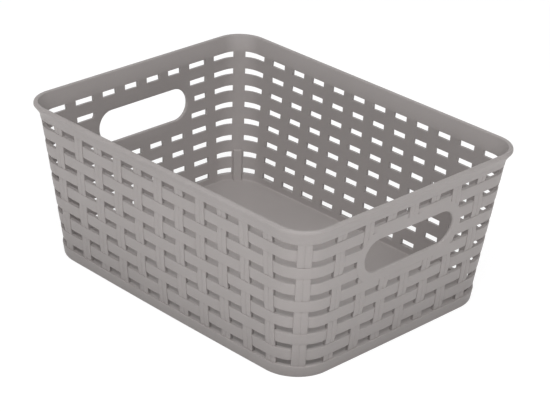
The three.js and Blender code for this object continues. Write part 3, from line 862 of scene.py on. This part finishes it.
def moulded_plastic(finish):
    """Satin plastic with the mould's fine grain and a slow drift of tone."""
    material = bpy.data.materials.get(PLASTIC_SLOT) or bpy.data.materials.new(PLASTIC_SLOT)
    g = empty_graph(material)
    where = g.add("ShaderNodeTexCoord").outputs["Object"]

    def noise(scale, detail, roughness):
        node = g.add("ShaderNodeTexNoise", {"noise_dimensions": "3D"}, {
            "Vector": where, "Scale": scale, "Detail": detail, "Roughness": roughness})
        return g.out(node, "Factor" if "Factor" in node.outputs else "Fac")

    drift = noise(*DRIFT)
    mottle = noise(*MOTTLE)
    grain = noise(*GRAIN)
    tone = (drift - 0.5) * DRIFT_TONE + (mottle - 0.5) * MOTTLE_TONE
    change = finish.tone_change
    pale = tuple(level * (1 + change) for level in finish.colour)
    deep = tuple(level * (1 - change * warmth) for level, warmth in zip(finish.colour, DEEP_WARMTH))
    mix = g.add("ShaderNodeMix", {"data_type": "RGBA"}, {
        "Factor": (tone + 0.5).most(0).least(1), 6: (*deep, 1.0), 7: (*pale, 1.0)})
    roughness = (finish.roughness + (mottle - 0.5) * finish.roughness_change
                 + (drift - 0.5) * DRIFT_ROUGHNESS)
    bump = g.add("ShaderNodeBump", sockets={
        "Strength": BUMP_STRENGTH, "Distance": finish.grain,
        "Height": grain * GRAIN_BUMP + mottle * MOTTLE_BUMP})
    shader = g.add("ShaderNodeBsdfPrincipled", sockets={
        "Base Color": mix.outputs[2], "Roughness": roughness, "Normal": bump.outputs[0],
        "IOR": PLASTIC_IOR, "Specular IOR Level": PLASTIC_SPECULAR})
    g.add("ShaderNodeOutputMaterial", sockets={"Surface": shader.outputs[0]})
    return material


def grow_ring(context, name, section, node, closed=True):
    """Sweeps a section round the basket, in place of one CAD node."""
    settings, plastic = settings_and_plastic(context)
    values = form_inputs(settings)
    line = line_mesh(f"{node}_section", section(settings))
    settle(grow_piece(name, ring_tree(name, values, closed), values, plastic, line), node)


# Operators, one for each group of pieces

WALLS = (
    ("front_wall", 0, ("front_wall",)),
    ("right_wall", 1, ("right_wall_below_handle", "right_wall_above_handle",
                       "right_wall_front_end", "right_wall_back_end")),
    ("back_wall", 2, ("back_wall",)),
    ("left_wall", 3, ("left_wall_below_handle", "left_wall_above_handle",
                      "left_wall_front_end", "left_wall_back_end")),
)
CORNERS = ("front_right", "back_right", "back_left", "front_left")


class BASKET_OT_woven_walls(bpy.types.Operator):
    """Build the four woven walls, with the handles cleared"""
    bl_idname = "basket.woven_walls"
    bl_label = "Woven Walls"

    def execute(self, context):
        settings, plastic = settings_and_plastic(context)
        tree = woven_tree(woven_inputs(settings, 0, False))
        for name, side, nodes in WALLS:
            piece = grow_piece(f"woven_{name}", tree, woven_inputs(settings, side, False), plastic)
            settle(piece, *nodes)
        return {"FINISHED"}


class BASKET_OT_woven_corners(bpy.types.Operator):
    """Build the four woven corners"""
    bl_idname = "basket.woven_corners"
    bl_label = "Woven Corners"

    def execute(self, context):
        settings, plastic = settings_and_plastic(context)
        tree = bpy.data.node_groups["Woven Wall"]
        for side, name in enumerate(CORNERS):
            piece = grow_piece(f"woven_corner_{name}", tree, woven_inputs(settings, side, True), plastic)
            settle(piece, f"corner_{name}")
        return {"FINISHED"}


class BASKET_OT_rim(bpy.types.Operator):
    """Build the flared rim"""
    bl_idname = "basket.rim"
    bl_label = "Rim"

    def execute(self, context):
        grow_ring(context, "flared_rim", rim_section, "rim")
        return {"FINISHED"}


class BASKET_OT_foot(bpy.types.Operator):
    """Build the plain foot band"""
    bl_idname = "basket.foot"
    bl_label = "Foot Band"

    def execute(self, context):
        grow_ring(context, "plain_foot_band", foot_section, "foot_band")
        return {"FINISHED"}


class BASKET_OT_floor(bpy.types.Operator):
    """Build the floor with its cove"""
    bl_idname = "basket.floor"
    bl_label = "Basket Floor"

    def execute(self, context):
        grow_ring(context, "coved_floor", floor_section, "floor_panel", closed=False)
        return {"FINISHED"}


class BASKET_OT_handles(bpy.types.Operator):
    """Build the rings round the two finger openings"""
    bl_idname = "basket.handles"
    bl_label = "Handle Surrounds"

    def execute(self, context):
        settings, plastic = settings_and_plastic(context)
        tree = handle_ring_tree(ring_inputs(settings, 1))
        for name, side in (("right", 1), ("left", 3)):
            line = line_mesh("surround_section", surround_section(settings))
            piece = grow_piece(f"{name}_handle_ring", tree, ring_inputs(settings, side), plastic, line)
            settle(piece, f"{name}_handle_surround")
        return {"FINISHED"}


class BASKET_OT_nesting_stops(bpy.types.Operator):
    """Build the four nesting stops inside the corners"""
    bl_idname = "basket.nesting_stops"
    bl_label = "Nesting Stops"

    def execute(self, context):
        settings, plastic = settings_and_plastic(context)
        tree = nesting_stop_tree(stop_inputs(settings, 0))
        for side, name in enumerate(CORNERS):
            piece = grow_piece(f"corner_stop_{name}", tree, stop_inputs(settings, side), plastic)
            smooth_edges(piece)
            settle(piece, f"nesting_stop_{name}")
        return {"FINISHED"}


# The photograph's camera

IMAGE_WIDTH = 550  # pixels
SENSOR = 36  # width in millimetres
FOCAL_PIXELS = 2000  # focal length
VIEW_AZIMUTH = 45.21  # degrees round from the front towards the right
VIEW_ELEVATION = 26.13  # degrees up
VIEW_ROLL = 2.105  # degrees
VIEW_SHIFT = (-0.3222, 3.4675, -106.28)  # the top row's middle as the camera sees it, in row pitches
PITCH = 0.0165  # from one row of slots to the next
TOP_ROW = 0.12955  # height of that row
NEAREST, FARTHEST = 0.01, 100  # limits of what the camera sees

WHITE = (1.0, 1.0, 1.0, 1.0)
FLOOR_HALF = 6.0  # half the studio floor's width


def direction(round_degrees, up_degrees):
    """A step away from the basket, so many degrees round from the front towards the right, and so many up."""
    turn, lift = math.radians(round_degrees), math.radians(up_degrees)
    return Vector((math.sin(turn) * math.cos(lift), -math.cos(turn) * math.cos(lift), math.sin(lift)))


def stage_camera(scene):
    """The camera that was fitted to the grid of slots."""
    roll = math.radians(VIEW_ROLL)
    back = direction(VIEW_AZIMUTH, VIEW_ELEVATION)
    right = Vector((0, 0, 1)).cross(back).normalized()
    up = back.cross(right)
    tilted_right = right * math.cos(roll) + up * math.sin(roll)
    tilted_up = up * math.cos(roll) - right * math.sin(roll)
    turn = Matrix((tilted_right, tilted_up, back)).transposed()
    place = -(turn @ Vector(VIEW_SHIFT)) * PITCH + Vector((0, 0, TOP_ROW))
    data = bpy.data.cameras.new("product_camera")
    data.sensor_width = SENSOR
    data.lens = FOCAL_PIXELS / IMAGE_WIDTH * SENSOR
    data.clip_start = NEAREST
    data.clip_end = FARTHEST
    camera = bpy.data.objects.new("product_camera", data)
    camera.matrix_world = Matrix.Translation(place) @ turn.to_4x4()
    scene.collection.objects.link(camera)
    scene.camera = camera


def seen_directly(g):
    """1 for rays from the camera and for mirror and glass rays, which see the white background too."""
    path = g.add("ShaderNodeLightPath")
    mirrored = g.out(path, "Is Glossy Ray")
    through = g.out(path, "Is Transmission Ray")
    return g.out(path, "Is Camera Ray").most(mirrored).most(through)


def stage_floor(scene, look, form):
    """A floor that looks white to the camera, and sends the basket less light from close by: a painted shade,
    as its colour is darker there, and further off a painted glow.
    """
    half = FLOOR_HALF
    mesh = bpy.data.meshes.new("studio_floor")
    corners = [(-half, -half, 0), (half, -half, 0), (half, half, 0), (-half, half, 0)]
    mesh.from_pydata(corners, [], [(0, 1, 2, 3)])
    material = bpy.data.materials.new("white_floor")
    g = empty_graph(material)

    def matt(level):
        return g.add("ShaderNodeBsdfDiffuse", sockets={"Color": (level, level, level, 1.0)}).outputs[0]

    def shine(strength):
        return g.add("ShaderNodeEmission", sockets={"Color": WHITE, "Strength": strength}).outputs[0]

    shown = g.add("ShaderNodeAddShader", sockets={0: shine(look.paper), 1: matt(look.shadow)}).outputs[0]
    # painted shade: the floor's colour darkens towards the basket within the near distance, in place of shade
    # round its base
    where = g.add("ShaderNodeTexCoord").outputs["Object"]
    split = g.add("ShaderNodeSeparateXYZ", sockets={0: where})
    along = (abs(g.out(split, 0)) - form.base_length / 2).most(0)
    across = (abs(g.out(split, 1)) - form.base_width / 2).most(0)
    away = ((along * along + across * across) ** 0.5 / look.near).least(1)
    # painted light: away from the basket the floor glows as well as bouncing light
    far = g.add("ShaderNodeAddShader", sockets={0: shine(look.painted_floor_glow), 1: matt(look.bounce)}).outputs[0]
    # the floor as the basket's light sees it: a darker colour close by, which is painted shade, and full
    # bounce with a painted glow further off
    lit = g.add("ShaderNodeMixShader", sockets={0: away, 1: matt(look.near_bounce_painted_shade), 2: far}).outputs[0]
    mix = g.add("ShaderNodeMixShader", sockets={0: seen_directly(g), 1: lit, 2: shown})
    g.add("ShaderNodeOutputMaterial", sockets={"Surface": mix.outputs[0]})
    mesh.materials.append(material)
    floor = bpy.data.objects.new("studio_floor", mesh)
    scene.collection.objects.link(floor)


def stage_world(scene, look):
    """A world that is white to the camera and gives the basket a little even light."""
    world = bpy.data.worlds.new("studio_sky")
    g = empty_graph(world)
    strength = choose(seen_directly(g), 1.0, look.sky)
    sky = g.add("ShaderNodeBackground", sockets={"Color": WHITE, "Strength": strength})
    g.add("ShaderNodeOutputWorld", sockets={"Surface": sky.outputs[0]})
    scene.world = world


# Each soft box's degrees round from the front towards the right, degrees up, distance, width, height
# and share of the power
SOFT_BOXES = {
    "key_box": (42, 53, 2.0, 3.6, 1.7, 0.84),
    "fill_box": (240, 60, 2.5, 2.0, 1.6, 0.16),
}


def stage_lamps(scene, look):
    """Soft boxes that point at the middle of the basket."""
    centre = Vector((0, 0, look.aim))
    for name, (round_degrees, up_degrees, distance, width, height, part) in SOFT_BOXES.items():
        data = bpy.data.lights.new(name, "AREA")
        data.shape = "RECTANGLE"
        data.size = width
        data.size_y = height
        data.energy = look.lamp * part
        lamp = bpy.data.objects.new(name, data)
        towards = direction(round_degrees, up_degrees)
        facing = towards.to_track_quat("Z", "Y").to_matrix().to_4x4()
        lamp.matrix_world = Matrix.Translation(centre + towards * distance) @ facing
        scene.collection.objects.link(lamp)


class BASKET_OT_stage(bpy.types.Operator):
    """Set the floor, the light and the camera"""
    bl_idname = "basket.stage"
    bl_label = "Stage"

    def execute(self, context):
        scene = context.scene
        look = scene.woven_basket.stage
        stage_floor(scene, look, scene.woven_basket.form)
        stage_world(scene, look)
        stage_lamps(scene, look)
        stage_camera(scene)
        scene.view_settings.view_transform = "Standard"
        return {"FINISHED"}


OPERATORS = (
    BASKET_OT_woven_walls, BASKET_OT_woven_corners, BASKET_OT_rim, BASKET_OT_foot, BASKET_OT_floor,
    BASKET_OT_handles, BASKET_OT_nesting_stops, BASKET_OT_stage,
)


class BASKET_PT_panel(bpy.types.Panel):
    """Sizes, finish and steps of the basket"""
    bl_idname = "BASKET_PT_panel"
    bl_label = "Woven Laundry Basket"
    bl_space_type = "VIEW_3D"
    bl_region_type = "UI"
    bl_category = "Basket"

    def draw(self, context):
        for title in BasketSettings.__annotations__:
            group = getattr(context.scene.woven_basket, title)
            box = self.layout.box()
            box.label(text=title.capitalize())
            for name in group.__annotations__:
                box.prop(group, name)
        for operator in OPERATORS:
            self.layout.operator(operator.bl_idname)


CLASSES = (BasketForm, WeaveSizes, RimAndFoot, HandleSizes, PlasticFinish, StageLook, BasketSettings,
           *OPERATORS, BASKET_PT_panel)


def register():
    for cls in CLASSES:
        bpy.utils.register_class(cls)
    bpy.types.Scene.woven_basket = PointerProperty(type=BasketSettings)


def unregister():
    del bpy.types.Scene.woven_basket
    for cls in reversed(CLASSES):
        bpy.utils.unregister_class(cls)


def main():
    register()
    for operator in OPERATORS:
        group, name = operator.bl_idname.split(".")
        getattr(getattr(bpy.ops, group), name)()


if __name__ == "__main__":
    main()
